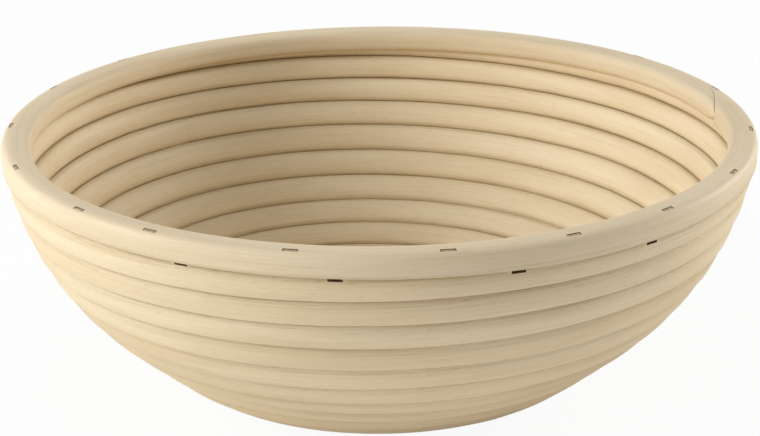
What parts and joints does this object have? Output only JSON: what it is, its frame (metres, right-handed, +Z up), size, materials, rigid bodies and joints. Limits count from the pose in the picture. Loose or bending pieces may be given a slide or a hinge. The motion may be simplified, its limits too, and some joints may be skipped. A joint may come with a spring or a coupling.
{
  "type": "banneton basket",
  "caption": "Round bread-proofing basket of coiled rattan cane: spiral base and wall, flared bowl shape, wide cane rim hoop fixed with recessed wire staples.",
  "frame": {"origin": "centre of the underside, on the surface that the basket stands on", "axes": "+Z up through the open mouth, -Y towards the front, +X to the right"},
  "size_m": [0.25, 0.25, 0.087],
  "materials": {
    "cane": "bare bleached rattan cane, sanded, with fine fibre lines along the strand",
    "rim_cane": "bare bleached rattan cane, smoother and a little paler than the wall",
    "staple_wire": "dull galvanised wire, darkened in its slot"
  },
  "bodies": {
    "root": {"base_coil_cane": "cane", "lower_wall_cane": "cane", "middle_wall_cane": "cane", "upper_wall_cane": "cane", "rim_hoop": "rim_cane", "base_staples": "staple_wire", "lower_wall_staples": "staple_wire", "middle_wall_staples": "staple_wire", "upper_wall_staples": "staple_wire", "top_course_staples": "staple_wire", "rim_staples": "staple_wire"}
  },
  "joints": []
}
